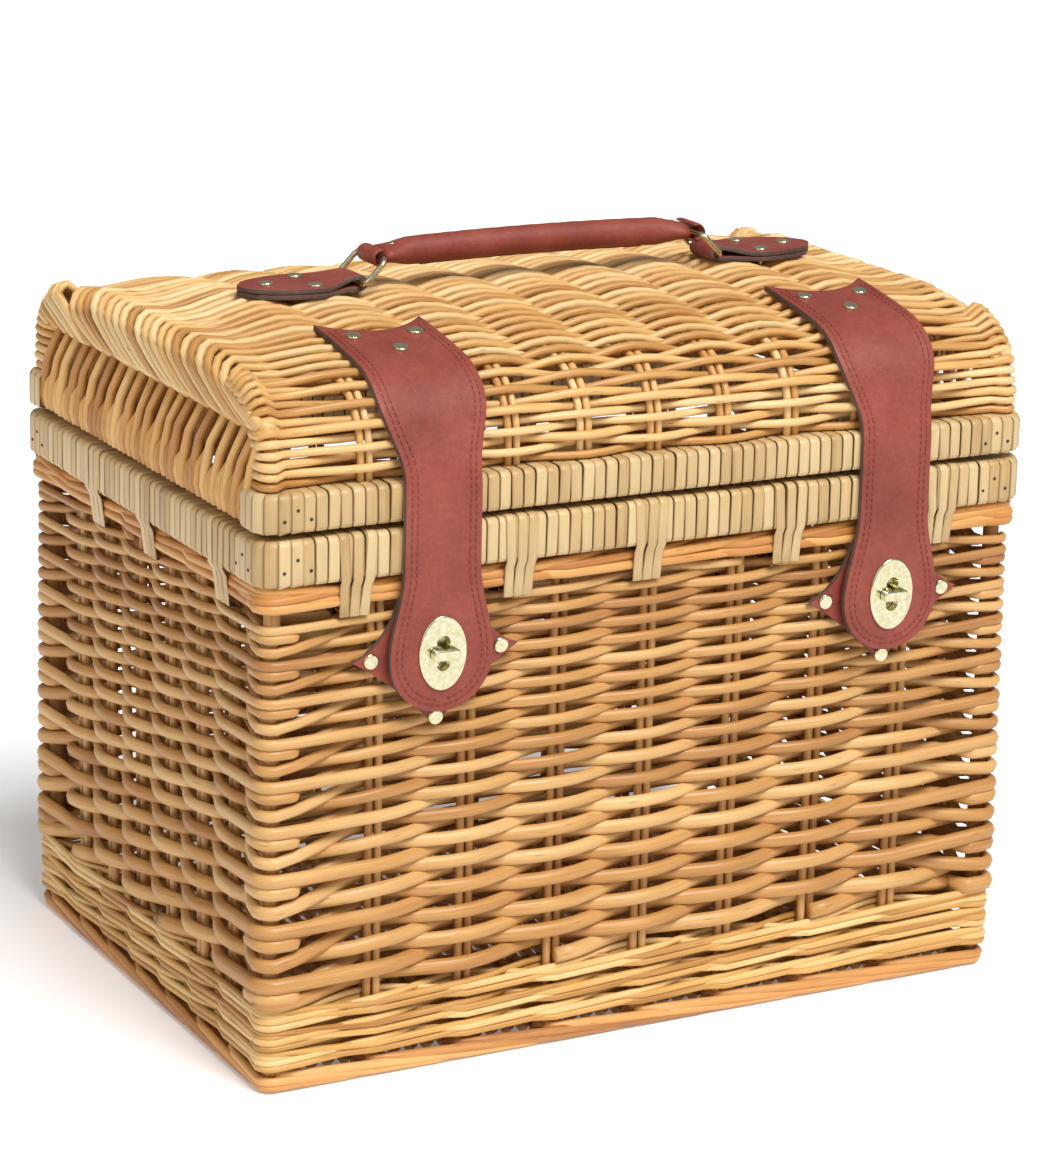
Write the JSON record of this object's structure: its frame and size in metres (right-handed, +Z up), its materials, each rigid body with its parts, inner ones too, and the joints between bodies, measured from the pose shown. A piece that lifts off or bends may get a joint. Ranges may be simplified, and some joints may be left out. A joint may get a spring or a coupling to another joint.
{
  "type": "wicker picnic basket",
  "caption": "Rectangular woven willow picnic basket with a domed hinged lid, leather straps with turn locks and a rolled leather carrying grip on rings.",
  "frame": {"origin": "centre of the basket's footprint, on the surface it stands on", "axes": "+X along the length to the right, -Y towards the strapped front, +Z up"},
  "size_m": [0.44, 0.3237, 0.3958],
  "materials": {
    "willow_body": "bare peeled willow, satin",
    "willow_foot": "darker buff willow, satin",
    "willow_lid": "pale peeled willow, satin",
    "willow_stick": "bare willow sticks",
    "cane": "pale split cane, smooth",
    "leather": "terracotta grained leather",
    "brass": "pale polished brass",
    "cord_core": "twisted cord filler"
  },
  "bodies": {
    "basket": {"foot_border": "willow_foot", "base_panel": "willow_body", "base_sticks": "willow_stick", "bottom_wale": "willow_body", "front_weave": "willow_body", "rear_weave": "willow_body", "left_weave": "willow_body", "right_weave": "willow_body", "top_wale": "willow_body", "corner_posts": "willow_stick", "front_stakes": "willow_stick", "rear_stakes": "willow_stick", "end_stakes": "willow_stick", "body_rim_core": "willow_stick", "body_rim_outer_laths": "willow_stick", "body_rim_inner_laths": "willow_stick", "body_rim_wrap": "cane", "body_rim_corner_bindings": "cane", "body_rim_ties": "cane", "latch_patch_left": "leather", "latch_patch_right": "leather", "patch_rivets": "brass", "turn_lock_base_left": "brass", "turn_lock_base_right": "brass", "hinge_leaves_body": "leather", "hinge_rivets_body": "brass", "hinge_folds": "leather"},
    "lid": {"lid_top_weave": "willow_lid", "lid_front_weave": "willow_lid", "lid_rear_weave": "willow_lid", "lid_left_end": "willow_lid", "lid_right_end": "willow_lid", "lid_stakes": "willow_stick", "lid_corner_posts": "willow_stick", "lid_end_rods": "willow_stick", "lid_rim_core": "willow_stick", "lid_rim_outer_laths": "willow_stick", "lid_rim_inner_laths": "willow_stick", "lid_rim_wrap": "cane", "lid_rim_corner_bindings": "cane", "strap_upper_left": "leather", "strap_upper_right": "leather", "strap_rivets": "brass", "handle_tab_left": "leather", "handle_tab_right": "leather", "handle_tab_rivets": "brass", "hinge_leaves_lid": "leather", "hinge_rivets_lid": "brass"},
    "strap_left": {"strap_tongue_left": "leather", "lock_eyelet_left": "brass"},
    "strap_right": {"strap_tongue_right": "leather", "lock_eyelet_right": "brass"},
    "button_left": {"turn_button_left": "brass"},
    "button_right": {"turn_button_right": "brass"},
    "ring_left": {"handle_ring_left": "brass"},
    "ring_right": {"handle_ring_right": "brass"},
    "grip": {"grip_cover": "leather", "grip_core": "cord_core"}
  },
  "joints": [
    {"name": "lid_hinge", "type": "hinge", "parent": "basket", "child": "lid", "pos_m": [0, 0.15635, 0.286], "axis": [-1, 0, 0], "range_deg": [0, 110]},
    {"name": "strap_left_flap", "type": "hinge", "parent": "lid", "child": "strap_left", "pos_m": [-0.124, -0.1571, 0.3095], "axis": [-1, 0, 0], "range_deg": [0, 100]},
    {"name": "strap_right_flap", "type": "hinge", "parent": "lid", "child": "strap_right", "pos_m": [0.136, -0.1571, 0.3095], "axis": [-1, 0, 0], "range_deg": [0, 100]},
    {"name": "button_left_turn", "type": "hinge", "parent": "basket", "child": "button_left", "pos_m": [-0.124, -0.16, 0.221], "axis": [0, 1, 0], "range_deg": [0, 90]},
    {"name": "button_right_turn", "type": "hinge", "parent": "basket", "child": "button_right", "pos_m": [0.136, -0.16, 0.221], "axis": [0, 1, 0], "range_deg": [0, 90]},
    {"name": "ring_left_swing", "type": "hinge", "parent": "lid", "child": "ring_left", "pos_m": [-0.099, 0, 0.3744], "axis": [0, -1, 0], "range_deg": [-18, 18]},
    {"name": "ring_right_swing", "type": "hinge", "parent": "lid", "child": "ring_right", "pos_m": [0.113, 0, 0.3744], "axis": [0, -1, 0], "range_deg": [-18, 18]},
    {"name": "grip_sway", "type": "hinge", "parent": "ring_left", "child": "grip", "pos_m": [-0.087, 0, 0.3864], "axis": [0, -1, 0], "range_deg": [-20.4, 20.4]}
  ],
  "couplings": [
    {"joint": "ring_right_swing", "follows": "ring_left_swing", "ratio": 1},
    {"joint": "grip_sway", "follows": "ring_left_swing", "ratio": -1.128}
  ]
}
